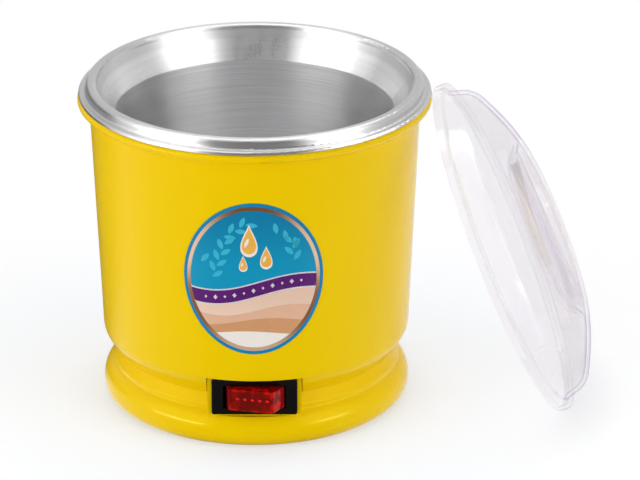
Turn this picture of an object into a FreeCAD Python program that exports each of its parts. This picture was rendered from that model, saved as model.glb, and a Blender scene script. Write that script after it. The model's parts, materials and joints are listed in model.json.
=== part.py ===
import FreeCAD, Part
import math
import os
from FreeCAD import Vector

# Candle wax melter: a moulded two-part housing with a spun aluminium pot, a clamped mica
# heating element below it, a rocker switch in front, and a loose clear lid that leans on
# the right side.  Millimetres, +Z up, -Y front, origin on the pot's axis at the table.

# ---------------------------------------------------------------- driving dimensions
# Clearances shared by all fits.
seat_gap = 0.3            # loose seat between moulded pieces
pin_gap = 0.05            # radial play of a pin, shank or stud in its hole
overrun = 5.0             # how far a cutting shape reaches past the material

# Housing, upper moulding.  Every radius of the heater follows from the first one.
wall = 2.4                # moulded wall
body_top_radius = 60.2    # outer wall right under the lip
wall_draft = 3.8          # how much narrower the wall is at its foot
body_low = 28.0           # height of the wall's foot, where its taper starts
lip_drop = 3.4            # lip's top, where the pot's flange rests, below the pot's mouth
lip_height = 2.8
lip_overhang = 4.2        # lip past the wall
lip_rounding = 1.3
lip_fillet = 1.2          # wall into the lip's underside
body_turn = 25.9          # height where the wall turns in towards its lower edge
body_rounding = 8.0
body_edge = 18.8          # lower edge, resting on the base moulding
body_tuck = 5.6           # how far the lower edge lies inside the wall's foot
edge_land = 1.6           # upright inner stretch above the lower edge

# Housing, lower moulding: the bulge is as wide as the wall's foot.
bulge_middle = 5.2        # height of the widest place
arc_share = 0.88          # share of the bulge's section taken by its arcs
foot_tuck = 3.3           # outer side of the flat foot that meets the table
foot_width = 3.5
foot_edge = 0.5
cove = 13.0               # hollow line above the bulge
cove_tuck = 3.8
cove_rounding = 0.9
shelf_rise = 1.8          # from the hollow line up to the shelf's small edge
shelf_tuck = 3.7
shelf_edge = 0.6
edge_overhang = 0.4       # upper moulding's edge past the ledge it rests on
floor_low = 2.0           # underside of the floor above the table
floor_rounding = 1.0
spigot_height = 4.4
spigot_wall = 2.0

# Base screws and the posts and bosses they pass.
screw_count = 4
screw_first = 45.0        # direction of the first post, in degrees
post_radius = 5.0
post_inset = 0.45         # from the post to the spigot's inside
boss_radius = 4.0
boss_top = 40.0
boss_bore_end = 1.0       # pilot hole past the screw's tip
screw_shank = 1.6
screw_head = 3.2
screw_head_height = 2.2
screw_seat = 10.0         # height of the seat inside the post
screw_length = 27.0
slot_width = 0.8          # driver slot of every screw head

# Vent slots in the floor.
vent_count = 12
vent_width = 2.6
vent_inner = 12.0
vent_outer = 19.0

# Pot, spun from sheet.
sheet = 0.9
bead_step = 1.1           # outer side of the rolled top bead past the body's wall
bead_width = 4.1          # from the bead's outer side to the mouth
cone_width = 6.5          # from the mouth to the straight well
well_floor = 43.0         # inner face of the pot's floor
well_rounding = 6.0
well_edge = 1.0           # where the straight well turns into the cone
cone_high = 120.0         # pot's mouth above the table
cone_height = 10.2        # from the straight well up to the mouth
bead_rise = 1.7           # top of the rolled bead above the mouth
bead_lean = 0.4           # the bead's inner side leans out of the cone
bead_rounding = 1.4
bead_fillet = 0.9
flange_inset = 0.4        # flange inside the lip's outer side
flange_height = 1.5
flange_rounding = 0.65

# Gasket under the pot's flange, in the lip's groove.
groove_wall = 1.08
gasket_width = 2.4
gasket_height = 0.8

# Clamped heater stack under the pot, from the top down.
stud_radius = 2.5
stud_end = 20.5
stud_edge = 0.6
weld_radius = 7.0
weld_height = 1.0
element_inset = 16.7      # mica discs inside the pot's well
mica_height = 0.6
ribbon_height = 0.4
ribbon_width = 1.8
ribbon_turns = 6
ribbon_margin = 2.0       # ribbon inside the mica's edge
ribbon_inner = 11.2       # inside of the smallest ring
ribbon_gap_angle = 36.0
ribbon_link_angle = 2.0   # turn of a link into its rings' ends
pad_margin = 1.0          # fibre disc past the mica
pad_height = 5.0
plate_margin = 1.0        # pressure plate past the fibre disc
plate_height = 1.2
plate_rim = 3.0
washer_radius = 6.5
washer_height = 1.0
nut_width = 8.0           # across flats
nut_height = 4.0

# Heat shield, clamped between the base posts and the body bosses.
shield_gap = 2.4          # room between the plate's nut and the shield
shield_inset = 2.0        # shield inside the mica discs
shield_height = 0.8
shield_ear = 9.0
shield_hole = 3.0
shield_hole_count = 16
shield_hole_inset = 4.5
shield_opening_margin = 2.0

# Thermostat on the pressure plate.
thermostat_inset = 15.0   # thermostat's middle inside the plate's edge
thermostat_radius = 8.0
cap_height = 4.0
cap_edge = 0.8
collar_step = 0.4         # body's collar inside the cup's side
collar_height = 1.5
waist_step = 1.2          # body below its collar
thermostat_height = 6.0
thermostat_ear = 12.0     # screw distance from the thermostat's middle
bracket_height = 0.8
bracket_band = 1.6        # width of the strap's ring, and its height on the cup
ear_radius = 3.0
small_screw = 1.5
small_head = 2.6
small_head_height = 1.6

# Thermal fuse, clip and earth tag on the pressure plate.
fuse_inset = 15.0         # fuse's middle inside the plate's edge
fuse_radius = 2.0
fuse_length = 10.0
lead_radius = 0.5
fuse_lead = 7.0
clip_height = 0.6
clip_width = 5.0
clip_room = 0.4           # between the fuse's hoop and the clip's screw head
earth_inset = 16.0
earth_y = -8.0
earth_tag_radius = 4.0
earth_tag_height = 0.8
earth_arm_width = 4.0
earth_arm_length = 9.0
earth_tab_length = 6.0

# Element terminals through the stack.
element_terminal_inset = 7.0     # terminals inside the mica's edge
element_terminal_x = 5.2
element_terminal_radius = 1.2
element_terminal_length = 12.0
sleeve_wall = 1.3
sleeve_collar = 0.8
sleeve_collar_height = 2.6

# Rocker switch, a 31 x 14 mm snap-in type.
bezel_width = 31.0
bezel_height = 14.0
bezel_depth = 1.2
bezel_corner = 1.0
bezel_edge = 0.4
bezel_inset = 2.6         # bezel's face inside the wall's foot
switch_z = 19.4
switch_width = 27.0
switch_height = 11.8
switch_depth = 18.6
window_width = 22.6
window_height = 8.8
window_depth = 11.0
rocker_pivot = 2.4        # pivot axis behind the bezel's face
rocker_face = 16.4        # length of the pressed face
rocker_reach = 6.5        # pivot axis to the pressed face
rocker_radius = 11.0      # rocker's ends about the pivot axis
rocker_height = 8.3
rocker_back = 3.5
rocker_taper = 1.2        # ends drawn in towards the back
rocker_wall = 1.2
rocker_corner = 0.6
rocker_edge = 0.4
hollow_corner = 0.3
rocker_tilt = 12.0        # half of the rocker's travel, in degrees
pin_radius = 1.2
pin_length = 1.2
blade_width = 4.8
blade_height = 0.8
blade_length = 8.0
blade_corner = 1.2
blade_hole = 0.8
blade_seat = 2.0          # blade's root inside the switch case
blade_pitch = 8.0
lamp_radius = 1.9
lamp_length = 8.0
lamp_tip = 1.7            # rounding of the bulb's front end
lamp_seat = 1.5
switch_pad_width = 34.0
switch_pad_top = 26.5
switch_pad_low = 11.6
pad_thickness = 3.0
snap_height = 0.8
snap_length = 3.0
snap_width = 4.0

# Cord inlet at the back: bush and clamp.
inlet_z = 7.3
inlet_radius = 3.8
inlet_inset = 2.6         # bush's seat inside the bulge's side
inlet_pad = 18.0
inlet_pad_depth = 3.2
inlet_pad_top = 11.8
bush_flange = 4.5
bush_flange_height = 1.8
bush_bore = 3.1
bush_edge = 0.6
bush_nose = 1.2           # part of the bush that stands out inside the wall
clamp_inset = 11.3        # clamp's middle inside the bush's seat
clamp_width = 6.0
clamp_wall = 1.6
clamp_screw_x = 8.0
clamp_margin = 3.0        # bar past its screws
clamp_foot_radius = 3.4
clamp_foot_height = 1.6
clamp_foot_bottom = 1.0   # floor left under the feet's blind holes

# Terminal block on the floor.
block_to_clamp = 15.5     # block's middle in front of the clamp's
block_width = 30.0
block_depth = 15.0
block_height = 11.0
block_pole_pitch = 9.0
block_poles = 3
block_bore = 2.4
block_groove = 1.2        # grooves between the poles
block_groove_depth = 2.75
block_screw_reach = 7.7   # screws' reach into the block
insert_wall = 0.8
insert_length = 13.0
pole_screw_radius = 1.4
pole_screw_length = 4.5
pole_screw_pitch = 7.0
pole_screw_tip = 0.6      # grub screw's tip above the pole's middle

# Label, an oval skin on the front.
label_width = 49.5
label_height = 59.4
label_z = 67.5
label_thickness = 0.2

# Lid, in its own frame: rim plane at height zero, dome upwards.
lid_inset = 0.7           # lid's rim inside the lip's outer side
lid_wall = 1.5
skirt_height = 3.7
ledge_width = 3.3         # flat ledge between the skirt and the dome
dome_lean = 2.4           # how far the dome's lower side leans in
dome_shoulder_height = 11.6
dome_shoulder_rounding = 8.0
dome_middle_share = 0.69  # radii of the dome and recess, as shares of the lid's
dome_middle_height = 18.6
dome_rounding = 65.0
recess_share = 0.52
recess_corner = 21.5      # corner of the section above the recess's soft rim
recess_rounding = 4.5
recess_floor_share = 0.463
recess_floor = 17.0
recess_edge = 0.5
grip_width = 9.0
grip_draft = 0.8
grip_top = 20.4
grip_root = 1.05          # depth of the grip's ends in the recess's side
lid_edge = 0.8            # outer edges of the clear moulding
lid_rim_edge = 0.5
lid_tilt = 66.5           # lean of the lid's axis from upright, in degrees
lid_yaw = 2.0             # turn of the lean towards the front, in degrees
lid_y = -8.1
seating_steps = 8         # moves that bring the lid to its seat

# ---------------------------------------------------------------- derived sizes
lip_top = cone_high - lip_drop
lip_under = lip_top - lip_height
lip_radius = body_top_radius + lip_overhang
body_low_radius = body_top_radius - wall_draft
body_edge_radius = body_low_radius - body_tuck
ledge_radius = body_edge_radius - edge_overhang
bulge_radius = body_low_radius
cove_radius = bulge_radius - cove_tuck
shelf_radius = bulge_radius - shelf_tuck
shelf = cove + shelf_rise
foot_outer = bulge_radius - foot_tuck
foot_inner = foot_outer - foot_width
floor_top = floor_low + wall
spigot_radius = body_edge_radius - wall + pin_gap
spigot_inner = spigot_radius - spigot_wall
spigot_top = body_edge + spigot_height
screw_circle = spigot_inner - post_radius - post_inset

bead_radius = body_top_radius + bead_step
mouth_radius = bead_radius - bead_width
well_radius = mouth_radius - cone_width
flange_radius = lip_radius - flange_inset
mica_radius = well_radius - element_inset
ribbon_radius = mica_radius - ribbon_margin
ribbon_pitch = (ribbon_radius - ribbon_width - ribbon_inner) / (ribbon_turns - 1)
pad_radius = mica_radius + pad_margin
plate_radius = pad_radius + plate_margin
shield_radius = mica_radius - shield_inset
shield_hole_circle = shield_radius - shield_hole_inset
thermostat_y = plate_radius - thermostat_inset
fuse_x = fuse_inset - plate_radius
earth_x = plate_radius - earth_inset
element_terminal_y = element_terminal_inset - mica_radius

cone_low = cone_high - cone_height
bead_top = cone_high + bead_rise
plate_z = well_floor - sheet                       # underside of the pot's floor
mica_z = plate_z - mica_height
ribbon_z = mica_z - ribbon_height
core_z = ribbon_z - mica_height
lower_mica_z = core_z - mica_height
pad_z = lower_mica_z - pad_height
pressure_z = pad_z - plate_height
washer_z = pressure_z - washer_height
plate_nut_z = washer_z - nut_height
shield_z = plate_nut_z - shield_gap - shield_height
post_top = shield_z
strap_z = pressure_z - cap_height + bracket_band - bracket_height
fuse_z = pressure_z - fuse_radius - pin_gap
clip_screw_y = -(fuse_radius + clip_height + small_head + clip_room)

bezel_face = body_low_radius - bezel_inset         # bezel's face in front of the axis
pad_face = bezel_face - bezel_depth                # panel plane behind the bezel
pivot_y = -(bezel_face - rocker_pivot)
switch_back = switch_depth - pad_face
inlet_face = bulge_radius - inlet_inset
clamp_y = inlet_face - clamp_inset
clamp_z = floor_top + clamp_foot_height
block_y = clamp_y - block_to_clamp
pole_z = floor_top + block_height / 2
stud_clear = stud_radius + pin_gap

lid_radius = lip_radius - lid_inset
dome_foot = lid_radius - ledge_width
dome_shoulder = dome_foot - dome_lean
dome_middle = dome_middle_share * lid_radius
recess_radius = recess_share * lid_radius
recess_floor_radius = recess_floor_share * lid_radius

X_AXIS = Vector(1, 0, 0)
Y_AXIS = Vector(0, 1, 0)
Z_AXIS = Vector(0, 0, 1)
ORIGIN = Vector(0, 0, 0)


# ---------------------------------------------------------------- shape helpers
def outline(corners, upright=True):
    """Closed wire through (across, up, corner radius) points, its corners rounded."""
    def place(across, up):
        return Vector(across, 0, up) if upright else Vector(across, up, 0)
    points = [place(across, up) for across, up, radius in corners]
    edges = []
    ends = []
    for index, (across, up, radius) in enumerate(corners):
        here = points[index]
        if not radius:
            ends.append((here, here, None))
            continue
        back = (points[index - 1] - here).normalize()
        onward = (points[(index + 1) % len(points)] - here).normalize()
        half = back.getAngle(onward) / 2
        reach = radius / math.tan(half)
        inward = (back + onward).normalize() * (radius / math.sin(half) - radius)
        ends.append((here + back * reach, here + onward * reach, here + inward))
    for index, (start, end, middle) in enumerate(ends):
        if middle:
            edges.append(Part.Arc(start, middle, end).toShape())
        following = ends[(index + 1) % len(ends)][0]
        if end.distanceToPoint(following) > 1e-6:
            edges.append(Part.LineSegment(end, following).toShape())
    return Part.Wire(edges)


def inner_skin(corners, thickness):
    """Corners of the line a wall's thickness to the left of a line, run backwards."""
    points = [Vector(across, up, 0) for across, up, rounding in corners]
    ways = [(after - before).normalize() for before, after in zip(points, points[1:])]
    arriving = ways[:1] + ways
    leaving = ways + ways[-1:]
    skin = []
    for corner, before, after in zip(corners, arriving, leaving):
        square = Vector(-before.y - after.y, before.x + after.x, 0) * 0.5
        shift = square * (thickness / square.Length ** 2)
        bend = before.x * after.y - before.y * after.x
        rounding = corner[2] and max(corner[2] - math.copysign(thickness, bend), 0)
        skin.append((corner[0] + shift.x, corner[1] + shift.y, rounding))
    return skin[::-1]


def turned(corners):
    """Solid of revolution about the axis from (radius, height, corner radius) points."""
    return Part.Face(outline(corners)).revolve(ORIGIN, Z_AXIS, 360)


def prism(corners, low, high):
    """Upright prism on a plan outline of (x, y, corner radius) points."""
    face = Part.Face(outline(corners, upright=False))
    face.translate(Vector(0, 0, low))
    return face.extrude(Vector(0, 0, high - low))


def block(x_size, y_low, y_high, z_low, z_high, x_middle=0.0):
    """Box given by its width in x and its limits in y and z."""
    corner = Vector(x_middle - x_size / 2, y_low, z_low)
    return Part.makeBox(x_size, y_high - y_low, z_high - z_low, corner)


def rod(radius, low, high, x=0.0, y=0.0):
    """Upright cylinder between two heights."""
    return Part.makeCylinder(radius, high - low, Vector(x, y, low))


def tube(outer, inner, low, high, x=0.0, y=0.0):
    """Upright round tube between two heights."""
    return rod(outer, low, high, x, y).cut(rod(inner, low, high, x, y))


def rod_along_y(radius, y_low, y_high, x, z):
    """Cylinder lying along Y."""
    return Part.makeCylinder(radius, y_high - y_low, Vector(x, y_low, z), Y_AXIS)


def nut(low, height, bore, x=0.0, y=0.0):
    """Hexagon nut, drawn by its width across flats."""
    corner = nut_width / 2 / math.cos(math.pi / 6)
    points = []
    for index in range(6):
        angle = math.radians(60 * index)
        points.append((corner * math.cos(angle), corner * math.sin(angle), 0))
    body = prism(points, low, low + height)
    chamfer = turned([
        (0, low, 0), (nut_width / 2, low, 0), (corner, low + (corner - nut_width / 2), 0),
        (corner, low + height, 0), (0, low + height, 0)])
    body = body.common(chamfer)
    body = body.cut(rod(bore, low, low + height))
    body.translate(Vector(x, y, 0))
    return body


def screw(shank, length, head, head_height, x, y, seat, up=True):
    """Pan-head screw: its shank goes up (or down) from the seat plane."""
    crown = head_height / 2
    body = turned([
        (0, -head_height, 0), (head - crown, -head_height, 0), (head, -crown, 0), (head, 0, 0),
        (shank, 0, 0), (shank, length - shank, 0), (0, length, 0)])
    slot = block(head * 2, -slot_width / 2, slot_width / 2, -head_height, -crown)
    body = body.cut(slot)
    if not up:
        body.rotate(ORIGIN, X_AXIS, 180)
    body.translate(Vector(x, y, seat))
    return body


def ring_places(count, radius, first=screw_first):
    """Points evenly spaced on a circle."""
    places = []
    for index in range(count):
        angle = math.radians(first + 360.0 * index / count)
        places.append((radius * math.cos(angle), radius * math.sin(angle)))
    return places


def fused(shapes):
    """One solid out of overlapping shapes."""
    return shapes[0].multiFuse(shapes[1:]).removeSplitter()


def wall_radius(height):
    """Outer radius of the tapered body wall at a height."""
    return body_low_radius + wall_draft * (height - body_low) / (lip_under - body_low)


def gasket_sides():
    """Inner and outer radius of the gasket in the lip's groove."""
    inner = wall_radius(lip_top) - wall + groove_wall
    return inner, inner + gasket_width


# ---------------------------------------------------------------- housing
def body_shell():
    """Tapered upper moulding with its rolled lip, screw bosses and switch notch."""
    inner_edge = spigot_radius + seat_gap
    side = [
        (body_edge_radius, body_edge, 0),
        (wall_radius(body_turn), body_turn, body_rounding),
        (wall_radius(lip_top), lip_top, 0)]
    shell = turned(side[:2] + [
        (wall_radius(lip_under), lip_under, lip_fillet),
        (lip_radius, lip_under, lip_rounding),
        (lip_radius, lip_top, lip_rounding),
        (wall_radius(lip_top) - wall, lip_top, 0),
        inner_skin(side, wall)[1],
        (inner_edge, body_edge + edge_land, 0),
        (inner_edge, body_edge, 0)])
    gasket_inner, gasket_outer = gasket_sides()
    shell = shell.cut(tube(gasket_outer + seat_gap, gasket_inner - seat_gap,
                           lip_top - gasket_height, lip_top))
    boss_low = post_top + shield_height
    rib_reach = wall_radius(boss_low) - wall / 2
    additions = []
    for index, (x, y) in enumerate(ring_places(screw_count, screw_circle)):
        rib = block(wall, screw_circle, rib_reach, boss_low, boss_top)
        rib.rotate(ORIGIN, Z_AXIS, screw_first + 360.0 * index / screw_count - 90.0)
        additions += [rod(boss_radius, boss_low, boss_top, x, y), rib]
    shell = fused([shell] + additions)
    hole_top = screw_seat + screw_length + boss_bore_end
    for x, y in ring_places(screw_count, screw_circle):
        shell = shell.cut(rod(screw_shank + pin_gap, boss_low, hole_top, x, y))
    notch_width = switch_pad_width + 2 * seat_gap
    notch = block(notch_width, -bulge_radius - overrun, -spigot_inner + 2 * wall,
                  body_edge - wall, switch_pad_top + seat_gap)
    return shell.cut(notch)


def bulge_corner(rise, tuck):
    """Distance of a corner from the bulge's middle, and the rounding that swells it."""
    square = rise * rise + tuck * tuck
    return square / (2 * rise), arc_share * square / (2 * tuck)


def base_profile():
    """Half section of the base ring, floor and spigot."""
    low_reach, low_rounding = bulge_corner(bulge_middle, foot_tuck)
    high_reach, high_rounding = bulge_corner(cove - bulge_middle, cove_tuck)
    side = [
        (foot_outer, 0, 0), (bulge_radius, bulge_middle - low_reach, low_rounding),
        (bulge_radius, bulge_middle + high_reach, high_rounding),
        (cove_radius, cove, cove_rounding), (shelf_radius, shelf, shelf_edge),
        (ledge_radius, body_edge, 0)]
    skin = inner_skin(side, wall)
    cove_inside = (skin[2][0], skin[2][1], 0)
    return [
        (0, floor_low, 0), (foot_inner, floor_low, 0), (foot_inner, 0, foot_edge)] + side + [
        (spigot_radius, body_edge, 0), (spigot_radius, spigot_top, 0),
        (spigot_inner, spigot_top, 0), (spigot_inner, body_edge - wall, 0),
        skin[1], cove_inside, skin[3],
        (bulge_radius - wall, floor_top, floor_rounding), (0, floor_top, 0)]


def vent_slots():
    """Round-ended slots through the floor, evenly spaced."""
    vent = block(vent_width, vent_inner, vent_outer, floor_low, floor_top)
    vent = vent.fuse(rod(vent_width / 2, floor_low, floor_top, 0, vent_inner))
    vent = vent.fuse(rod(vent_width / 2, floor_low, floor_top, 0, vent_outer))
    slots = []
    for index in range(vent_count):
        slot = vent.copy()
        slot.rotate(ORIGIN, Z_AXIS, 360.0 * (index + 0.5) / vent_count)
        slots.append(slot)
    return slots


def switch_cuts():
    """Pocket in front of the switch panel and the opening behind it."""
    low = switch_z - switch_height / 2 - seat_gap / 2
    high = switch_z + switch_height / 2 + seat_gap / 2
    return [
        block(switch_pad_width, -bulge_radius - overrun, -pad_face,
              switch_pad_low, switch_pad_top + wall),
        block(switch_width + 2 * seat_gap, -bulge_radius, -spigot_inner + wall, low, high),
        block(switch_pad_width - 2 * wall, -pad_face + pad_thickness,
              -spigot_inner + 2 * wall, low, switch_pad_top)]


def base_shell():
    """Bulged lower moulding: foot ring, vented floor, screw posts, switch panel."""
    shell = turned(base_profile())
    panel = block(switch_pad_width, -pad_face, -pad_face + pad_thickness,
                  cove - wall, switch_pad_top)
    inlet_wall = block(inlet_pad, inlet_face - inlet_pad_depth, bulge_radius - wall,
                       floor_top - wall / 2, inlet_pad_top)
    posts = []
    for x, y in ring_places(screw_count, screw_circle):
        posts.append(rod(post_radius, floor_low, post_top, x, y))
    feet = [rod(clamp_foot_radius, floor_low, clamp_z, x, clamp_y)
            for x in (-clamp_screw_x, clamp_screw_x)]
    shell = fused([shell, panel, inlet_wall] + posts + feet)

    cuts = switch_cuts() + vent_slots()
    cuts.append(rod_along_y(inlet_radius + pin_gap, spigot_inner, bulge_radius + overrun,
                            0, inlet_z))
    cuts.append(rod_along_y(bush_flange + seat_gap, inlet_face, bulge_radius + overrun,
                            0, inlet_z))
    for x, y in ring_places(screw_count, screw_circle):
        cuts.append(rod(screw_shank + seat_gap, floor_low, post_top, x, y))
        cuts.append(rod(screw_head + seat_gap, floor_low, screw_seat, x, y))
    for x in (-clamp_screw_x, clamp_screw_x):
        cuts.append(rod(small_screw + pin_gap, floor_low + clamp_foot_bottom, clamp_z,
                        x, clamp_y))
    for x in (-block_pole_pitch / 2, block_pole_pitch / 2):
        cuts.append(rod(small_screw + pin_gap, floor_low, floor_top, x, block_y))
    return shell.cut(cuts)


def base_screws():
    """Four self-tapping screws from below, through the posts into the bosses."""
    return [screw(screw_shank, screw_length, screw_head, screw_head_height, x, y, screw_seat)
            for x, y in ring_places(screw_count, screw_circle)]


# ---------------------------------------------------------------- pot
def pot():
    """Spun pot: straight well, flared mouth, rolled bead and resting flange."""
    flange_top = lip_top + flange_height
    slope = (mouth_radius - well_radius) / (cone_high - cone_low)
    skin = sheet * math.hypot(1, slope)
    return turned([
        (0, well_floor, 0),
        (well_radius, well_floor, well_rounding),
        (well_radius, cone_low, well_edge),
        (mouth_radius, cone_high, 0),
        (mouth_radius + bead_lean, bead_top, bead_rounding),
        (bead_radius, bead_top, bead_rounding),
        (bead_radius, flange_top, bead_fillet),
        (flange_radius, flange_top, flange_rounding),
        (flange_radius, lip_top, flange_rounding),
        (bead_radius - sheet, lip_top, 0),
        (bead_radius - sheet, bead_top - sheet, 0),
        (mouth_radius + skin, bead_top - sheet, 0),
        (mouth_radius + skin, cone_high, 0),
        (well_radius + sheet, cone_low - slope * sheet / 2, 0),
        (well_radius + sheet, well_floor - sheet, well_rounding + sheet),
        (0, well_floor - sheet, 0)])


def rim_gasket():
    """Silicone ring in the lip's groove, under the pot's flange."""
    inner, outer = gasket_sides()
    return tube(outer, inner, lip_top - gasket_height, lip_top)


# ---------------------------------------------------------------- heater stack
def pot_stud():
    """Threaded stud with a round weld plate on the pot's floor."""
    return turned([
        (0, stud_end, 0), (stud_radius - stud_edge, stud_end, 0),
        (stud_radius, stud_end + stud_edge, 0),
        (stud_radius, plate_z - weld_height, 0), (weld_radius, plate_z - weld_height, 0),
        (weld_radius, plate_z, 0), (0, plate_z, 0)])


def terminal_holes(shape, radius, low, high):
    """The shape with the element's two terminal holes."""
    for x in (-element_terminal_x, element_terminal_x):
        shape = shape.cut(rod(radius, low, high, x, element_terminal_y))
    return shape


def mica_upper():
    """Mica disc between the pot and the heating ribbon."""
    return tube(mica_radius, weld_radius + seat_gap, mica_z, plate_z)


def heating_ribbon():
    """Flat resistance ribbon laid in rings, one ring linked to the next."""
    pieces = []
    for turn in range(ribbon_turns):
        radius = ribbon_radius - turn * ribbon_pitch
        sweep = 360.0 - ribbon_gap_angle
        ring = Part.makeCylinder(radius, ribbon_height, Vector(0, 0, ribbon_z), Z_AXIS, sweep)
        hole = Part.makeCylinder(radius - ribbon_width, ribbon_height,
                                 Vector(0, 0, ribbon_z), Z_AXIS, sweep)
        ring = ring.cut(hole)
        ring.rotate(ORIGIN, Z_AXIS, ribbon_gap_angle / 2 - 90.0)
        pieces.append(ring)
        if turn:
            side = 1 if turn % 2 else -1
            link = block(ribbon_width, radius - ribbon_width, radius + ribbon_pitch,
                         ribbon_z, ribbon_z + ribbon_height)
            angle = ribbon_gap_angle / 2 + ribbon_link_angle
            link.rotate(ORIGIN, Z_AXIS, 180.0 + side * angle)
            pieces.append(link)
    return fused(pieces)


def element_core():
    """Mica disc that carries the heating ribbon."""
    core = tube(mica_radius, stud_clear, core_z, ribbon_z)
    return terminal_holes(core, element_terminal_radius + pin_gap, core_z, ribbon_z)


def mica_lower():
    """Mica disc under the ribbon's carrier."""
    disc = tube(mica_radius, stud_clear, lower_mica_z, core_z)
    return terminal_holes(disc, element_terminal_radius + pin_gap, lower_mica_z, core_z)


def insulation_pad():
    """Ceramic fibre disc that keeps the heat in the pot."""
    disc = tube(pad_radius, stud_clear, pad_z, lower_mica_z)
    return terminal_holes(disc, element_terminal_radius + pin_gap, pad_z, lower_mica_z)


def pressure_plate():
    """Steel pan that presses the element against the pot."""
    dish = turned([
        (stud_clear, pressure_z, 0),
        (plate_radius - plate_height, pressure_z, 0),
        (plate_radius - plate_height, pressure_z - plate_rim, 0),
        (plate_radius, pressure_z - plate_rim, 0),
        (plate_radius, pad_z, plate_height), (stud_clear, pad_z, 0)])
    holes = [rod(small_screw + pin_gap, pressure_z, pad_z, x, thermostat_y)
             for x in (-thermostat_ear, thermostat_ear)]
    holes.append(rod(small_screw + pin_gap, pressure_z, pad_z, fuse_x, clip_screw_y))
    holes.append(rod(small_screw + pin_gap, pressure_z, pad_z, earth_x, earth_y))
    dish = dish.cut(holes)
    return terminal_holes(dish, element_terminal_radius + sleeve_wall + pin_gap,
                          pressure_z, pad_z)


def plate_washer():
    """Washer under the plate's nut."""
    return tube(washer_radius, stud_clear, washer_z, pressure_z)


def plate_nut():
    """Nut that draws the pressure plate up."""
    return nut(plate_nut_z, nut_height, stud_clear)


def shield_nut():
    """Nut that pulls the pot down onto the lip, under the heat shield."""
    return nut(shield_z - nut_height, nut_height, stud_clear)


def heat_shield():
    """Aluminium disc with four ears and an opening round the thermostat."""
    top = shield_z + shield_height
    disc = rod(shield_radius, shield_z, top)
    ears = []
    for index, (x, y) in enumerate(ring_places(screw_count, screw_circle)):
        ear = block(shield_ear, 0, screw_circle, shield_z, top)
        ear.rotate(ORIGIN, Z_AXIS, screw_first + 360.0 * index / screw_count - 90.0)
        ears += [ear, rod(shield_ear / 2, shield_z, top, x, y)]
    disc = fused([disc] + ears)
    cuts = [rod(stud_clear + seat_gap, shield_z, top)]
    for x, y in ring_places(screw_count, screw_circle):
        cuts.append(rod(screw_shank + seat_gap, shield_z, top, x, y))
    opening = thermostat_radius + shield_opening_margin
    cuts.append(rod(opening, shield_z, top, 0, thermostat_y))
    for x, y in ring_places(shield_hole_count, shield_hole_circle, 180.0 / shield_hole_count):
        clear_of_opening = math.hypot(x, y - thermostat_y) > opening + shield_hole
        if clear_of_opening:
            cuts.append(rod(shield_hole / 2, shield_z, top, x, y))
    return disc.cut(cuts)


# ---------------------------------------------------------------- parts on the plate
def thermostat_cap():
    """Aluminium cup of the snap-disc thermostat, touching the plate."""
    low = pressure_z - cap_height
    cup = turned([
        (0, low, 0), (thermostat_radius, low, 0), (thermostat_radius, pressure_z, cap_edge),
        (0, pressure_z, 0)])
    cup.translate(Vector(0, thermostat_y, 0))
    return cup


def thermostat_body():
    """Phenolic body of the thermostat below its cup."""
    top = pressure_z - cap_height
    low = top - thermostat_height
    waist = thermostat_radius - waist_step
    collar = thermostat_radius - collar_step
    body = turned([
        (0, low, 0), (waist, low, 0), (waist, top - collar_height, 0),
        (collar, top - collar_height, 0), (collar, top, 0), (0, top, 0)])
    body.translate(Vector(0, thermostat_y, 0))
    return body


def thermostat_blades():
    """Two tab terminals under the thermostat."""
    top = pressure_z - cap_height - thermostat_height
    y_low = thermostat_y - blade_width / 2
    return [block(blade_height, y_low, y_low + blade_width, top - blade_length / 2, top, x)
            for x in (-blade_pitch / 2, blade_pitch / 2)]


def thermostat_bracket():
    """Two-eared strap that holds the thermostat's cup to the plate."""
    high = strap_z + bracket_height
    ring = tube(thermostat_radius + bracket_band, thermostat_radius + pin_gap, strap_z, high,
                0, thermostat_y)
    pieces = [ring]
    near = thermostat_radius + bracket_band / 2
    for side in (-1, 1):
        arm = block(thermostat_ear - near, thermostat_y - ear_radius,
                    thermostat_y + ear_radius, strap_z, high,
                    side * (near + thermostat_ear) / 2)
        end = rod(ear_radius, strap_z, pressure_z, side * thermostat_ear, thermostat_y)
        pieces += [arm, end]
    strap = fused(pieces)
    for side in (-1, 1):
        strap = strap.cut(rod(small_screw + pin_gap, strap_z, pressure_z,
                              side * thermostat_ear, thermostat_y))
    return strap


def thermostat_screws():
    """Two screws of the thermostat's strap."""
    length = pad_z - strap_z
    return [screw(small_screw, length, small_head, small_head_height, x, thermostat_y,
                  strap_z) for x in (-thermostat_ear, thermostat_ear)]


def thermal_fuse():
    """Thermal cut-off: metal case with a lead at each end."""
    case = Part.makeCylinder(fuse_radius, fuse_length,
                             Vector(fuse_x - fuse_length / 2, 0, fuse_z), X_AXIS)
    lead_start = fuse_x - (fuse_length + fuse_lead) / 2
    lead = Part.makeCylinder(lead_radius, fuse_length + fuse_lead,
                             Vector(lead_start, 0, fuse_z), X_AXIS)
    return case.fuse(lead).removeSplitter()


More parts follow.
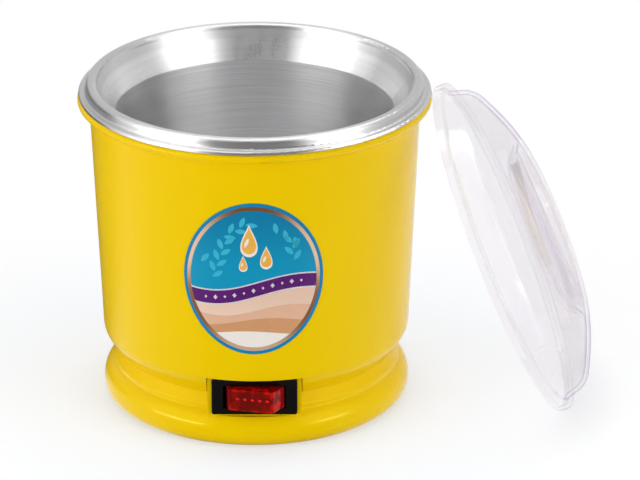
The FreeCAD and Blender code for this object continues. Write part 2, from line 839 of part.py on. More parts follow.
def fuse_clip():
    """Sheet strap over the fuse, screwed to the plate on one side."""
    inner = fuse_radius + pin_gap
    outer = inner + clip_height
    start = Vector(fuse_x - clip_width / 2, 0, fuse_z)
    hoop = Part.makeCylinder(outer, clip_width, start, X_AXIS)
    upper = block(clip_width, -outer, outer, fuse_z, pressure_z, fuse_x)
    tab_low = pressure_z - clip_height
    tab = block(clip_width, clip_screw_y - small_head, 0, tab_low, pressure_z, fuse_x)
    strap = fused([hoop, upper, tab])
    strap = strap.cut(block(clip_width, -outer, outer, pressure_z, pressure_z + outer,
                            fuse_x))
    strap = strap.cut(Part.makeCylinder(inner, clip_width, start, X_AXIS))
    strap = strap.cut(block(clip_width, -inner, inner, fuse_z, pressure_z, fuse_x))
    return strap.cut(rod(small_screw + pin_gap, tab_low, pressure_z, fuse_x, clip_screw_y))


def clip_screw():
    """Screw of the fuse's clip."""
    seat = pressure_z - clip_height
    return screw(small_screw, pad_z - seat, small_head, small_head_height,
                 fuse_x, clip_screw_y, seat)


def earth_tag():
    """Ring tag of the earth lead, with its crimp tab bent down."""
    low = pressure_z - earth_tag_height
    arm_end = earth_y - earth_arm_length
    ring = rod(earth_tag_radius, low, pressure_z, earth_x, earth_y)
    arm = block(earth_arm_width, arm_end, earth_y, low, pressure_z, earth_x)
    tab = block(earth_arm_width, arm_end, arm_end + earth_tag_height,
                low - earth_tab_length, pressure_z, earth_x)
    tag = fused([ring, arm, tab])
    return tag.cut(rod(small_screw + pin_gap, low, pressure_z, earth_x, earth_y))


def earth_screw():
    """Screw of the earth tag."""
    seat = pressure_z - earth_tag_height
    return screw(small_screw, pad_z - seat, small_head, small_head_height,
                 earth_x, earth_y, seat)


def element_terminals():
    """Two posts that bring the ribbon's ends down through the plate."""
    return [rod(element_terminal_radius, ribbon_z - element_terminal_length, ribbon_z,
                x, element_terminal_y) for x in (-element_terminal_x, element_terminal_x)]


def ceramic_beads():
    """Insulating sleeves round the element's posts where they pass the plate."""
    bore = element_terminal_radius + pin_gap
    outer = element_terminal_radius + sleeve_wall
    collar = outer + sleeve_collar
    low = pressure_z - sleeve_collar_height
    sleeves = []
    for x in (-element_terminal_x, element_terminal_x):
        sleeve = turned([
            (bore, low, 0), (collar, low, 0), (collar, pressure_z, 0),
            (outer, pressure_z, 0), (outer, pad_z, 0), (bore, pad_z, 0)])
        sleeve.translate(Vector(x, element_terminal_y, 0))
        sleeves.append(sleeve)
    return sleeves


# ---------------------------------------------------------------- switch
def switch_bezel():
    """Rounded frame that rests on the panel in front."""
    low = switch_z - bezel_height / 2
    frame = block(bezel_width, -bezel_face, -pad_face, low, low + bezel_height)
    corners = [edge for edge in frame.Edges if edge.BoundBox.YLength > bezel_depth / 2]
    frame = frame.makeFillet(bezel_corner, corners)
    rim = [edge for edge in frame.Edges
           if edge.BoundBox.YMax < -bezel_face + bezel_depth / 2]
    return frame.makeFillet(bezel_edge, rim)


def switch_housing():
    """Snap-in switch case: bezel, body, open rocker well and pivot holes."""
    body_low = switch_z - switch_height / 2
    body = block(switch_width, -pad_face, switch_back, body_low, body_low + switch_height)
    panel_back = -pad_face + pad_thickness
    snaps = [block(snap_height, panel_back + seat_gap / 3, panel_back + snap_length,
                   switch_z - snap_width / 2, switch_z + snap_width / 2,
                   side * (switch_width + snap_height) / 2) for side in (-1, 1)]
    case = fused([switch_bezel(), body] + snaps)
    well_low = switch_z - window_height / 2
    well_high = switch_z + window_height / 2
    well_end = -bezel_face + window_depth
    well = block(window_width, -bezel_face, well_end, well_low, well_high)
    pivot_hole = rod(pin_radius + pin_gap, well_low - pin_length, well_high + pin_length,
                     0, pivot_y)
    blade_cuts = [block(blade_width, switch_back - blade_seat, switch_back,
                        switch_z - blade_height / 2, switch_z + blade_height / 2, x)
                  for x in blade_places()]
    lamp_cut = rod_along_y(lamp_radius + pin_gap, well_end, well_end + lamp_seat, 0, switch_z)
    return case.cut([well, pivot_hole, lamp_cut] + blade_cuts)


def blade_places():
    """Sideways places of the switch's three terminals."""
    return (-blade_pitch, 0.0, blade_pitch)


def switch_blades():
    """Three tab terminals behind the switch, each with its hole."""
    root = switch_back - blade_seat
    tip = switch_back + blade_length
    low = switch_z - blade_height / 2
    blades = []
    for x in blade_places():
        blade = prism([
            (x - blade_width / 2, root, 0), (x + blade_width / 2, root, 0),
            (x + blade_width / 2, tip, blade_corner), (x - blade_width / 2, tip, blade_corner)],
            low, low + blade_height)
        hole = rod(blade_hole, low, low + blade_height, x, tip - blade_width / 2)
        blades.append(blade.cut(hole))
    return blades


def switch_lamp():
    """Neon bulb standing in the switch behind the rocker."""
    bulb = turned([
        (0, 0, 0), (lamp_radius, 0, 0), (lamp_radius, lamp_length, lamp_tip),
        (0, lamp_length, 0)])
    bulb.rotate(ORIGIN, X_AXIS, 90)
    bulb.translate(Vector(0, -bezel_face + window_depth + lamp_seat, switch_z))
    return bulb


def rocker_outline(inset, rounding):
    """Plan of the rocker about its pivot, or of its hollow when inset."""
    face_half = rocker_face / 2 - inset
    face = inset - rocker_reach
    side = rocker_radius - inset
    back = rocker_back + inset
    return [
        (-face_half, face, rounding), (face_half, face, rounding), (side, 0, rounding),
        (side - rocker_taper, back, 0), (rocker_taper - side, back, 0), (-side, 0, rounding)]


def switch_rocker():
    """Hollow rocker cap on its two pivot pins, tilted to the off position."""
    low = switch_z - rocker_height / 2
    high = low + rocker_height
    cap = prism(rocker_outline(0, rocker_corner), low, high)
    rims = [edge for edge in cap.Edges if edge.BoundBox.ZLength < rocker_edge / 2
            and edge.BoundBox.YMax < -rocker_reach + rocker_edge / 2]
    cap = cap.makeFillet(rocker_edge, rims)
    hollow = prism(rocker_outline(rocker_wall, hollow_corner),
                   low + rocker_wall, high - rocker_wall)
    pins = [rod(pin_radius, low - pin_length + seat_gap, low),
            rod(pin_radius, high, high + pin_length - seat_gap)]
    cap = fused([cap.cut(hollow)] + pins)
    cap.rotate(ORIGIN, Z_AXIS, -rocker_tilt)
    cap.translate(Vector(0, pivot_y, 0))
    return cap


# ---------------------------------------------------------------- cord inlet, terminals
def cord_bush():
    """Bush in the back wall that the supply cord passes through."""
    bush_length = bush_flange_height + inlet_pad_depth + bush_nose
    bush = turned([
        (bush_bore, 0, 0), (bush_flange, 0, bush_edge), (bush_flange, bush_flange_height, 0),
        (inlet_radius, bush_flange_height, 0), (inlet_radius, bush_length, 0),
        (bush_bore, bush_length, 0)])
    bush.rotate(ORIGIN, X_AXIS, 90)
    bush.translate(Vector(0, inlet_face + bush_flange_height, inlet_z))
    return bush


def cord_clamp():
    """Saddle that would hold the cord inside, on its two feet."""
    y_low = clamp_y - clamp_width / 2
    y_high = clamp_y + clamp_width / 2
    span = 2 * (clamp_screw_x + clamp_margin)
    bar = block(span, y_low, y_high, clamp_z, clamp_z + clamp_wall)
    hoop = rod_along_y(bush_bore + clamp_wall, y_low, y_high, 0, inlet_z)
    saddle = bar.fuse(hoop)
    saddle = saddle.cut(rod_along_y(bush_bore, y_low, y_high, 0, inlet_z))
    below = block(span, y_low, y_high, floor_low, clamp_z)
    saddle = saddle.cut(below)
    neck = block(2 * bush_bore, y_low, y_high, clamp_z, inlet_z)
    saddle = saddle.cut(neck).removeSplitter()
    for x in (-clamp_screw_x, clamp_screw_x):
        saddle = saddle.cut(rod(small_screw + pin_gap, clamp_z, clamp_z + clamp_wall,
                                x, clamp_y))
    return saddle


def clamp_screws():
    """Two screws of the cord clamp."""
    seat = clamp_z + clamp_wall
    length = seat - floor_low - clamp_foot_bottom
    return [screw(small_screw, length, small_head, small_head_height, x, clamp_y, seat, False)
            for x in (-clamp_screw_x, clamp_screw_x)]


def pole_places():
    """Sideways places of the terminal block's poles."""
    return [(index - (block_poles - 1) / 2) * block_pole_pitch for index in range(block_poles)]


def pole_screw_places():
    """Lengthwise places of the two screws of each pole."""
    return (block_y - pole_screw_pitch / 2, block_y + pole_screw_pitch / 2)


def terminal_block():
    """Ceramic terminal block with a bored pole for each conductor."""
    y_low = block_y - block_depth / 2
    y_high = block_y + block_depth / 2
    top = floor_top + block_height
    body = block(block_width, y_low, y_high, floor_top, top)
    cuts = []
    for x in pole_places():
        cuts.append(rod_along_y(block_bore + pin_gap, y_low, y_high, x, pole_z))
        for y in pole_screw_places():
            cuts.append(rod(pole_screw_radius + seat_gap, pole_z, top, x, y))
    for x in (-block_pole_pitch / 2, block_pole_pitch / 2):
        cuts.append(rod(small_screw + pin_gap, floor_top, top, x, block_y))
        cuts.append(block(block_groove, y_low, y_high, top - block_groove_depth, top, x))
    return body.cut(cuts)


def terminal_inserts():
    """Brass sleeves of the terminal block."""
    y_low = block_y - insert_length / 2
    y_high = block_y + insert_length / 2
    sleeves = []
    for x in pole_places():
        sleeve = rod_along_y(block_bore, y_low, y_high, x, pole_z)
        sleeve = sleeve.cut(rod_along_y(block_bore - insert_wall, y_low, y_high, x, pole_z))
        for y in pole_screw_places():
            sleeve = sleeve.cut(rod(pole_screw_radius + pin_gap, pole_z,
                                    pole_z + block_bore, x, y))
        sleeves.append(sleeve)
    return sleeves


def terminal_screws():
    """Grub screws of the terminal block, two for each pole."""
    low = pole_z + pole_screw_tip
    high = low + pole_screw_length
    screws = []
    for x in pole_places():
        for y in pole_screw_places():
            grub = rod(pole_screw_radius, low, high, x, y)
            slot = block(2 * pole_screw_radius, y - slot_width / 2, y + slot_width / 2,
                         high - slot_width, high, x)
            screws.append(grub.cut(slot))
    return screws


def block_screws():
    """Two screws that hold the terminal block to the floor, from below."""
    length = wall + block_screw_reach
    return [screw(small_screw, length, small_head, small_head_height, x, block_y, floor_low)
            for x in (-block_pole_pitch / 2, block_pole_pitch / 2)]


# ---------------------------------------------------------------- label and lid
def label():
    """Oval label skin on the front of the tapered wall."""
    low = label_z - label_height
    high = label_z + label_height
    outer = Part.makeCone(wall_radius(low) + label_thickness,
                          wall_radius(high) + label_thickness, high - low,
                          Vector(0, 0, low))
    inner = Part.makeCone(wall_radius(low), wall_radius(high), high - low,
                          Vector(0, 0, low))
    oval = Part.Ellipse(ORIGIN, label_height / 2, label_width / 2).toShape()
    oval.rotate(ORIGIN, Z_AXIS, 90)
    oval.rotate(ORIGIN, X_AXIS, 90)
    oval.translate(Vector(0, 0, label_z))
    cutter = Part.Face(Part.Wire(oval)).extrude(Vector(0, -2 * body_top_radius, 0))
    return outer.cut(inner).common(cutter)


def lid_upright():
    """Clear lid before it is leaned: skirt, ledge, dome and finger recess with its bar."""
    outside = [
        (lid_radius, 0, lid_rim_edge),
        (lid_radius, skirt_height, lid_edge),
        (dome_foot, skirt_height, lid_edge),
        (dome_shoulder, dome_shoulder_height, dome_shoulder_rounding),
        (dome_middle, dome_middle_height, dome_rounding),
        (recess_radius, recess_corner, recess_rounding),
        (recess_floor_radius, recess_floor, recess_edge),
        (0, recess_floor, 0)]
    shell = turned(outside + inner_skin(outside, lid_wall))
    low = recess_floor - lid_wall
    slope = (recess_radius - recess_floor_radius) / (recess_corner - recess_floor)
    reach = recess_floor_radius + grip_root
    envelope = Part.makeCone(reach - slope * lid_wall, reach + slope * (grip_top - recess_floor),
                             grip_top - low, Vector(0, 0, low))
    bar = lofted_bar(grip_width, recess_radius, low, grip_top).common(envelope)
    hollow = lofted_bar(grip_width - 2 * lid_wall, recess_floor_radius - lid_wall,
                        low, grip_top - lid_wall)
    return shell.fuse(bar).cut(hollow).removeSplitter()


def lofted_bar(width, half_length, low, high):
    """Bar along X, a little narrower at its top, its section rounded there."""
    top_half = width / 2 - grip_draft
    section = outline([
        (-width / 2, low, 0), (width / 2, low, 0),
        (top_half, high, lid_edge), (-top_half, high, lid_edge)])
    bar = Part.Face(section).extrude(Vector(0, 2 * half_length, 0))
    bar.translate(Vector(0, -half_length, 0))
    bar.rotate(ORIGIN, Z_AXIS, 90)
    return bar


def leaned_on():
    """Rounded edges that the lid can lean on, each as its core circle and its rounding."""
    edges = [
        (bead_radius, bead_top, bead_rounding),
        (flange_radius, lip_top + flange_height, flange_rounding),
        (lip_radius, lip_top, lip_rounding),
        (lip_radius, lip_under + 2 * lip_rounding, lip_rounding)]
    return [(Part.makeCircle(radius - rounding, Vector(0, 0, high - rounding)), rounding)
            for radius, high, rounding in edges]


def lid():
    """The lid leaned against the heater, its rim on the table."""
    edges = leaned_on()
    shape = lid_upright()
    shape.rotate(ORIGIN, Y_AXIS, lid_tilt)
    shape.rotate(ORIGIN, Z_AXIS, -lid_yaw)
    shape.translate(Vector(lip_radius + 2 * lid_radius, lid_y, 0))
    shape.translate(Vector(0, 0, -shape.optimalBoundingBox().ZMin))
    for step in range(seating_steps):
        room = min(shape.distToShape(circle)[0] - rounding for circle, rounding in edges)
        shape.translate(Vector(seat_gap - room, 0, 0))
    return shape


# ---------------------------------------------------------------- output
def write(name, shapes):
    """One STEP file for a node, which may be a group of separate solids."""
    if not isinstance(shapes, list):
        shapes = [shapes]
    solids = []
    for shape in shapes:
        solids += shape.Solids
    for solid in solids:
        if not solid.isValid():
            raise ValueError(name + " is not a valid solid")
    node = solids[0] if len(solids) == 1 else Part.makeCompound(solids)
    node.exportStep(os.path.join("parts", name + ".step"))


def main():
    os.makedirs("parts", exist_ok=True)
    makers = [
        body_shell, base_shell, base_screws, pot, rim_gasket, pot_stud, mica_upper,
        heating_ribbon, element_core, mica_lower, insulation_pad, pressure_plate,
        plate_washer, plate_nut, heat_shield, shield_nut, thermostat_cap, thermostat_body,
        thermostat_blades, thermostat_bracket, thermostat_screws, thermal_fuse, fuse_clip,
        clip_screw, earth_tag, earth_screw, element_terminals, ceramic_beads,
        switch_housing, switch_blades, switch_lamp, switch_rocker, cord_bush, cord_clamp,
        clamp_screws, terminal_block, terminal_inserts, terminal_screws, block_screws, label, lid]
    for maker in makers:
        write(maker.__name__, maker())


main()
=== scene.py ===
import json
import math

import bpy
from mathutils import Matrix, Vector


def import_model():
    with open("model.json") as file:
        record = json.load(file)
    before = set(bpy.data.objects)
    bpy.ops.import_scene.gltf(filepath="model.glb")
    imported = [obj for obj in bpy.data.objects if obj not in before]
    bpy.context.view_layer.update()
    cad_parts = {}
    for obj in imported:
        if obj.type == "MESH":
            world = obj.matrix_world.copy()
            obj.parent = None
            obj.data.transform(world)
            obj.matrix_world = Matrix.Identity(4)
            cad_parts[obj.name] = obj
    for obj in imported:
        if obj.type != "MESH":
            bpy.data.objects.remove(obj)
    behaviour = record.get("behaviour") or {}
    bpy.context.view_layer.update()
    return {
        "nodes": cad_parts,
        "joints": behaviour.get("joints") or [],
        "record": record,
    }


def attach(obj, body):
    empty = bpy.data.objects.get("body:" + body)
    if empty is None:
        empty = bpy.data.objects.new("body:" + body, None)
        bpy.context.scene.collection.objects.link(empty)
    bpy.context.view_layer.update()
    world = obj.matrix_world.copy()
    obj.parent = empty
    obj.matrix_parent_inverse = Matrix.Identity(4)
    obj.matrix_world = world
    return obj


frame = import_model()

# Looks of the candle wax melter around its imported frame: metres, +Z up, -Y front.
MM = 0.001

# ---------------------------------------------------------------- driving values
# Camera, as the photograph was taken.
CAMERA_PLACE = (0.02363, -1.475, 0.680)
CAMERA_PITCH = math.radians(67.14)
CAMERA_LENS = 244.6
SENSOR_WIDTH = 36.0

# Materials in general: the reach of a noise value, and refraction of moulded plastic.
NOISE_REACH = (0.3, 0.7)
PLASTIC_IOR = 1.5
CLEAR_IOR = 1.49

# Pot: heights where the well turns into the cone, and the cone into the bead.
WELL_EDGE = (109.0 * MM, 110.5 * MM)
BRIM_EDGE = (116.8 * MM, 118.0 * MM)
# Its spun rings: scales of the noise, two of them round the pot, the last across the
# rings.
RING_FINE = (1.4, 1.4, 2600.0)
RING_BANDS = (2.2, 2.2, 500.0)
RING_PATCHES = (5.0, 5.0, 90.0)
RING_SCRATCHES = (60.0, 60.0, 900.0)
RING_DEPTH = 0.004 * MM
RING_STRENGTH = (0.5, 0.12)   # of the bump, in the cone and on the bead
ANISOTROPY = 0.9

# Lid: shares of the light that pass straight through its thin wall.
LID_CLEARNESS = 0.78          # where the wall is seen squarely
LID_EDGE_CLEARNESS = 0.92     # where it is seen edge-on
LID_LAMP_SHARE = 0.8          # for lamps, which sets how pale its shadow is
LID_EDGE = (0.72, 1.0)        # how edge-on the wall has to be, 0 to 1
LID_EDGE_SHADE = (0.84, 0.97)    # and for the darker lilac outline, painted shade of the darker surroundings seen through the edge

# Label: an oval on the tapered front wall, centred at LABEL_HEIGHT.
LABEL_HEIGHT = 67.5 * MM
LABEL_HALF_WIDTH = 24.75 * MM
LABEL_HALF_HEIGHT = 29.7 * MM
LABEL_FILM = 0.2 * MM
PRINT_LIFT = 0.03 * MM        # each LAYER of print above the one below
WALL_LOW = (28.0 * MM, 56.4 * MM)      # height and radius of the wall
WALL_HIGH = (113.8 * MM, 60.2 * MM)
GOLD_SHARE = 0.955            # outline of the gold ring, as a share of the film's
FIELD_SHARE = 0.905           # outline of the printed field
FIELD_GRID = (72, 14)         # columns and rows of points in a printed field
PATCH_RINGS = 4               # rings of points in a small printed shape
# Layers of print, from the film outwards; each wave lies one above the last.
LAYER = {"ring": 1, "field": 2, "ribbon": 3, "wave": 3, "leaf": 3, "trim": 4,
         "rim": 4, "drop": 5, "bead": 5, "glint": 6}

# Ribbon across the label: its lower edge is a wave, its upper edge runs above it.
RIBBON_DROP = 7.2 * MM
RIBBON_SWING = 3.2 * MM
RIBBON_TURN = 2.4             # angle of the wave at the label's side
RIBBON_WIDTH = 5.6 * MM
TRIM_WIDTH = 0.55 * MM

# Waves below it, in millimetres: the first one's value and the step to the next.
WAVE_INKS = ("peach", "honey", "ivory")
WAVE_DROP = (12.5, 4.6)
WAVE_BEND = (2.2, -0.5)
WAVE_TURN = 3.1               # angle of a wave at the label's side
WAVE_SHIFT = 0.9              # and its shift from one wave to the next

# Leaf sprigs: place across and up in millimetres, heading in degrees, and leaves.
STEMS = ((-14.5, 0.5, 72.0, 7), (-10.5, 16.5, 32.0, 5), (7.5, 22.0, -40.0, 6),
         (14.5, 7.0, 96.0, 4), (-18.6, 6.0, 88.0, 2))
LEAF_ROOM = 0.8 * MM          # leaves stay this far inside the field
LEAF_STEP = 2.3 * MM          # from one leaf to the next
LEAF_SPREAD = 38.0            # degrees between a leaf and its stem
LEAF_SIZE = (4.4 * MM, 1.9 * MM)
LEAF_BULGE = 0.8              # power of its outline: less is rounder
LEAF_POINTS = 14

# Drops: place across and up and radius in millimetres; sizes below are shares of it.
DROPS = ((-1.5, 15.2, 3.6), (4.6, 8.6, 2.6), (-3.6, 6.2, 1.8))
DROP_POINTS = 36
DROP_TALL = 1.45
DROP_TAPER = 1.5              # power of its outline: more is more pointed
DROP_RIM = 1.22               # size of the pale shape behind the drop
GLINT_SIZE = (1.1, 0.34)
GLINT_PLACE = (0.42, 0.75)    # to the left of the drop's middle, and below it
GLINT_HEADING = math.radians(70.0)

# Beads along the ribbon, in millimetres; small and large ones take turns.
BEAD_COUNT = 11
BEAD_PITCH = 3.4
BEAD_HALF = (0.6, 0.95)
BEAD_SLIM = 0.8               # half width as a share of half height

# Rocker and its marks, measured from its pivot.
ROCKER_PIVOT = tuple(next(joint["pos_m"] for joint in frame["joints"]
                          if joint["name"] == "rocker_tilt"))
ROCKER_TILT = math.radians(-12.0)
ROCKER_FACE = 6.5 * MM        # from the pivot to the face
ROCKER_HALF_LENGTH = 8.2 * MM
ROCKER_HALF_HEIGHT = 4.15 * MM
ROCKER_WALL = 0.5 * MM        # the painted shade of the hollow ends this far inside the face's edge
HOLLOW_FADE = (1.3 * MM, 1.1 * MM)     # and fades from here, in length and height
MARK_COUNT = 5
MARK_PITCH = 2.75 * MM
MARK_HALF = (0.72 * MM, 0.46 * MM)     # half width and half height of a mark
MARK_PLACE = (0.7 * MM, 0.6 * MM)      # middle of the row, across and up
MARK_LIFT = 0.01 * MM         # its outline above the rocker's face
MARK_PEAK = 0.12 * MM         # its middle above the rocker's face
MARK_SIDES = 10

# Lamps: degrees round the object, 0 in front and + to the right; degrees up; distance
# from AIM; width and height; power in watts.
AIM = (0.0, 0.0, 0.06)
LAMPS = {
    "key_panel": (-60.0, 17.0, 1.95, (1.8, 1.9), 10.0),
    "key_wide": (-72.0, 17.0, 2.05, (2.6, 2.2), 8.0),
    "key_core": (-57.0, 4.0, 1.80, (1.3, 0.13), 9.5),
    "fill_panel": (55.0, 17.0, 1.95, (1.5, 1.9), 9.0),
    "fill_wide": (60.0, 17.0, 2.05, (1.8, 2.2), 5.5),
    "fill_core": (56.0, 7.0, 1.80, (0.8, 0.13), 6.0),
    "top": (180.0, 80.0, 1.70, (2.1, 1.5), 13.0),
}

# Floor as it is seen.  Pairs are values near the object and far from it.
FLOOR_HALF = 0.5
FLOOR_REACH = (0.08, 0.27)    # distance from the object's middle
FLOOR_WHITE = (0.36, 1.00)    # how much of the lit paper gives way to white
FLOOR_GLOW = (0.61, 1.00)     # strength of that white, where 1 is white
PAPER_REACH = (0.08, 0.20)    # distance over which the paper's painted bluish tint, which offsets yellow light bounced from the housing, fades out
CONTACT_REACH = 0.018         # shade this close to what stands on the floor
CONTACT_OPEN = 0.4            # openness at which it is darkest
CONTACT_SHADE = 0.82
CONTACT_SAMPLES = 8

# Room light that falls on surfaces.
ROOM_LIGHT = 0.20
# What polished surfaces see of the room and the floor, as a share of white.  Between
# the two angles of a TURN, in degrees, and the two heights of a RISE, one tone fades
# into the next.  Heights are those of a direction: 0 is level and 1 is straight up.
ROOM_FRONT = 0.15
ROOM_SIDE = 0.72
ROOM_FRONT_TURN = (20.0, 46.0)
ROOM_LEFT = 0.12              # low down at the back left, as a share of ROOM_SIDE
ROOM_LEFT_TURN = (-116.0, -92.0)
ROOM_LEFT_RISE = (-0.10, 0.45)
ROOM_TOP = 0.85
ROOM_TOP_RISE = (0.80, 0.93)
ROOM_BACK_TURN = (150.0, 172.0)        # white behind the object
ROOM_BACK_RISE = (0.16, 0.30)
ROOM_LOW_RISE = (-0.12, 0.0)  # below it the room is at least as bright as FLOOR_FRONT
FLOOR_FRONT = 0.26
FLOOR_FRONT_TURN = (20.0, 44.0)
FLOOR_LEFT = 0.08             # at the back left
FLOOR_LEFT_TURN = (86.0, 114.0)
FLOOR_RIGHT = 0.85
FLOOR_RIGHT_TURN = (60.0, 95.0)


# ---------------------------------------------------------------- node helpers
def node(tree, kind, settings=None, inputs=None):
    """A shader node with its settings and its inputs, each a value or a socket."""
    made = tree.nodes.new("ShaderNode" + kind)
    for name, value in (settings or {}).items():
        setattr(made, name, value)
    for name, value in (inputs or {}).items():
        wire(tree, value, made.inputs[name])
    return made


def wire(tree, value, socket):
    """Link a socket to an input, or set the input's own value."""
    if isinstance(value, bpy.types.NodeSocket):
        tree.links.new(value, socket)
    else:
        socket.default_value = value


def calc(tree, operation, *values):
    """Result of a Math node."""
    made = node(tree, "Math", {"operation": operation}, dict(enumerate(values)))
    return made.outputs[0]


def plus(tree, first, second):
    """Sum of two values."""
    return calc(tree, "ADD", first, second)


def minus(tree, first, second):
    """First value less the second."""
    return calc(tree, "SUBTRACT", first, second)


def times(tree, first, second):
    """Product of two values."""
    return calc(tree, "MULTIPLY", first, second)


def larger(tree, first, second):
    """Larger of two values."""
    return calc(tree, "MAXIMUM", first, second)


def place(tree):
    """Object coordinates, in metres in the part's frame."""
    return node(tree, "TexCoord").outputs["Object"]


def split(tree, vector):
    """The three parts of a vector."""
    return node(tree, "SeparateXYZ", None, {0: vector}).outputs


def noise(tree, vector, scale, detail=4.0, roughness=0.55):
    """Noise value between 0 and 1."""
    inputs = {"Vector": vector, "Scale": scale, "Detail": detail,
              "Roughness": roughness}
    return node(tree, "TexNoise", None, inputs).outputs["Fac"]


def stretched(tree, vector, scales, detail, roughness=0.55):
    """Noise value with a scale of its own for each part of the vector."""
    made = node(tree, "VectorMath", {"operation": "MULTIPLY"}, {0: vector, 1: scales})
    return noise(tree, made.outputs[0], 1.0, detail, roughness)


def ranged(tree, value, low, high, to_low, to_high, smooth=True):
    """The value mapped from one range to another, clamped."""
    settings = {"interpolation_type": "SMOOTHSTEP" if smooth else "LINEAR"}
    inputs = {"Value": value, "From Min": low, "From Max": high,
              "To Min": to_low, "To Max": to_high}
    return node(tree, "MapRange", settings, inputs).outputs[0]


def swing(tree, value, low, high):
    """A noise value mapped to a range."""
    return ranged(tree, value, *NOISE_REACH, low, high)


def mixed(tree, share, first, second):
    """Colour mix of two colours or sockets."""
    made = node(tree, "Mix", {"data_type": "RGBA"})
    wire(tree, share, made.inputs[0])
    wire(tree, first, made.inputs[6])
    wire(tree, second, made.inputs[7])
    return made.outputs[2]


def bump(tree, height, distance, strength=1.0):
    """Normal from a height value, its depth in metres."""
    inputs = {"Height": height, "Distance": distance, "Strength": strength}
    return node(tree, "Bump", None, inputs).outputs[0]


def rgb(red, green, blue):
    """Linear colour from an sRGB colour of 0 to 255."""
    def linear(value):
        share = value / 255.0
        return share / 12.92 if share <= 0.04045 else ((share + 0.055) / 1.055) ** 2.4
    return (linear(red), linear(green), linear(blue), 1.0)


def new_material(name):
    """Empty node material with its tree."""
    material = bpy.data.materials.new(name)
    material.use_nodes = True
    tree = material.node_tree
    tree.nodes.clear()
    return material, tree


def surface(tree, shader):
    """Send a shader to the material's output."""
    output = node(tree, "OutputMaterial")
    tree.links.new(shader, output.inputs["Surface"])


def principled(tree, inputs):
    """Principled shader's output."""
    return node(tree, "BsdfPrincipled", None, inputs).outputs[0]


def varied(tree, vector, colour, spread, scale):
    """A colour with a faint uneven tone, as moulded and printed surfaces have."""
    darker = tuple(part * (1 - spread) for part in colour[:3]) + (1.0,)
    lighter = tuple(min(1.0, part * (1 + spread)) for part in colour[:3]) + (1.0,)
    return mixed(tree, noise(tree, vector, scale, detail=3.0), darker, lighter)


# ---------------------------------------------------------------- materials
def moulded(name, colour, roughness, spread=0.03, peel=0.004 * MM, shine=0.5):
    """Injection-moulded plastic: faint flow tone, orange peel, uneven gloss."""
    material, tree = new_material(name)
    where = place(tree)
    gloss = swing(tree, noise(tree, where, scale=45.0), roughness * 0.85,
                  roughness * 1.2)
    skin = noise(tree, where, scale=700.0, detail=3.0)
    surface(tree, principled(tree, {
        "Base Color": varied(tree, where, colour, spread, scale=22.0),
        "Roughness": gloss, "IOR": PLASTIC_IOR, "Specular IOR Level": shine,
        "Normal": bump(tree, skin, peel)}))
    return material


def yellow_plastic():
    """Glossy yellow housing; its highlights keep some of the yellow."""
    material, tree = new_material("yellow_plastic")
    where = place(tree)
    gloss = swing(tree, noise(tree, where, scale=30.0), 0.16, 0.22)
    skin = noise(tree, where, scale=500.0, detail=3.0)
    colour = varied(tree, where, rgb(246, 206, 0), spread=0.02, scale=14.0)
    surface(tree, principled(tree, {
        "Base Color": colour, "Roughness": gloss, "IOR": PLASTIC_IOR,
        "Specular IOR Level": 0.30, "Specular Tint": (1.0, 0.88, 0.16, 1.0),
        "Normal": bump(tree, skin, 0.003 * MM)}))
    return material


def turned_place(tree):
    """Round the Z axis: both parts of the direction, radius less height, and height."""
    parts = split(tree, place(tree))
    radius = calc(tree, "SQRT", plus(tree, times(tree, parts[0], parts[0]),
                                     times(tree, parts[1], parts[1])))
    side = calc(tree, "DIVIDE", parts[0], radius)
    front = calc(tree, "DIVIDE", parts[1], radius)
    return side, front, minus(tree, radius, parts[2]), parts[2]


def spun_tone(tree, fine, well, brim, scuff):
    """Colour of spun sheet: ringed, even on the bead, with deeper rings in the well
    whose darker tone is painted shade of the well.
    """
    cone = mixed(tree, fine, rgb(220, 219, 219), rgb(246, 245, 245))
    # painted shade of the well: its ring tone reaches darker than the cone's
    shaded_well_tone = mixed(tree, fine, rgb(200, 200, 201), rgb(247, 246, 247))
    tone = mixed(tree, well, cone, shaded_well_tone)
    tone = mixed(tree, times(tree, scuff, 0.55), tone, rgb(150, 146, 144))
    return mixed(tree, times(tree, brim, 0.8), tone, rgb(214, 213, 213))


def spun_gloss(tree, patches, well, brim, scuff):
    """Roughness of spun sheet: patchy, more so on the bead, in the well and scuffs."""
    rough = ranged(tree, patches, 0.35, 0.65, 0.26, 0.34)
    for area, more in ((brim, 0.04), (well, 0.12), (scuff, 0.2)):
        rough = plus(tree, rough, times(tree, area, more))
    return rough


def spun_aluminium():
    """Spun sheet: fine rings of tool marks, soft bands and a few scuffs."""
    material, tree = new_material("spun_aluminium")
    side, front, rise, height = turned_place(tree)
    ring = node(tree, "CombineXYZ", None, {0: side, 1: front, 2: rise}).outputs[0]
    fine = stretched(tree, ring, RING_FINE, detail=3.0)
    bands = stretched(tree, ring, RING_BANDS, detail=2.0)
    patches = stretched(tree, ring, RING_PATCHES, detail=5.0, roughness=0.7)
    scratches = stretched(tree, ring, RING_SCRATCHES, detail=4.0, roughness=0.7)
    well = ranged(tree, height, *WELL_EDGE, 1.0, 0.0)
    brim = ranged(tree, height, *BRIM_EDGE, 0.0, 1.0)
    scuff = times(tree, ranged(tree, scratches, 0.66, 0.76, 0.0, 1.0),
                  minus(tree, 1.0, well))
    marks = plus(tree, fine, times(tree, bands, 0.8))
    strength = ranged(tree, brim, 0.0, 1.0, *RING_STRENGTH)
    tangent = node(tree, "Tangent", {"direction_type": "RADIAL", "axis": "Z"})
    surface(tree, principled(tree, {
        "Base Color": spun_tone(tree, fine, well, brim, scuff), "Metallic": 1.0,
        "Roughness": spun_gloss(tree, patches, well, brim, scuff),
        "Anisotropic": ANISOTROPY, "Anisotropic Rotation": 0.25,
        "Tangent": tangent.outputs[0],
        "Normal": bump(tree, marks, RING_DEPTH, strength)}))
    return material


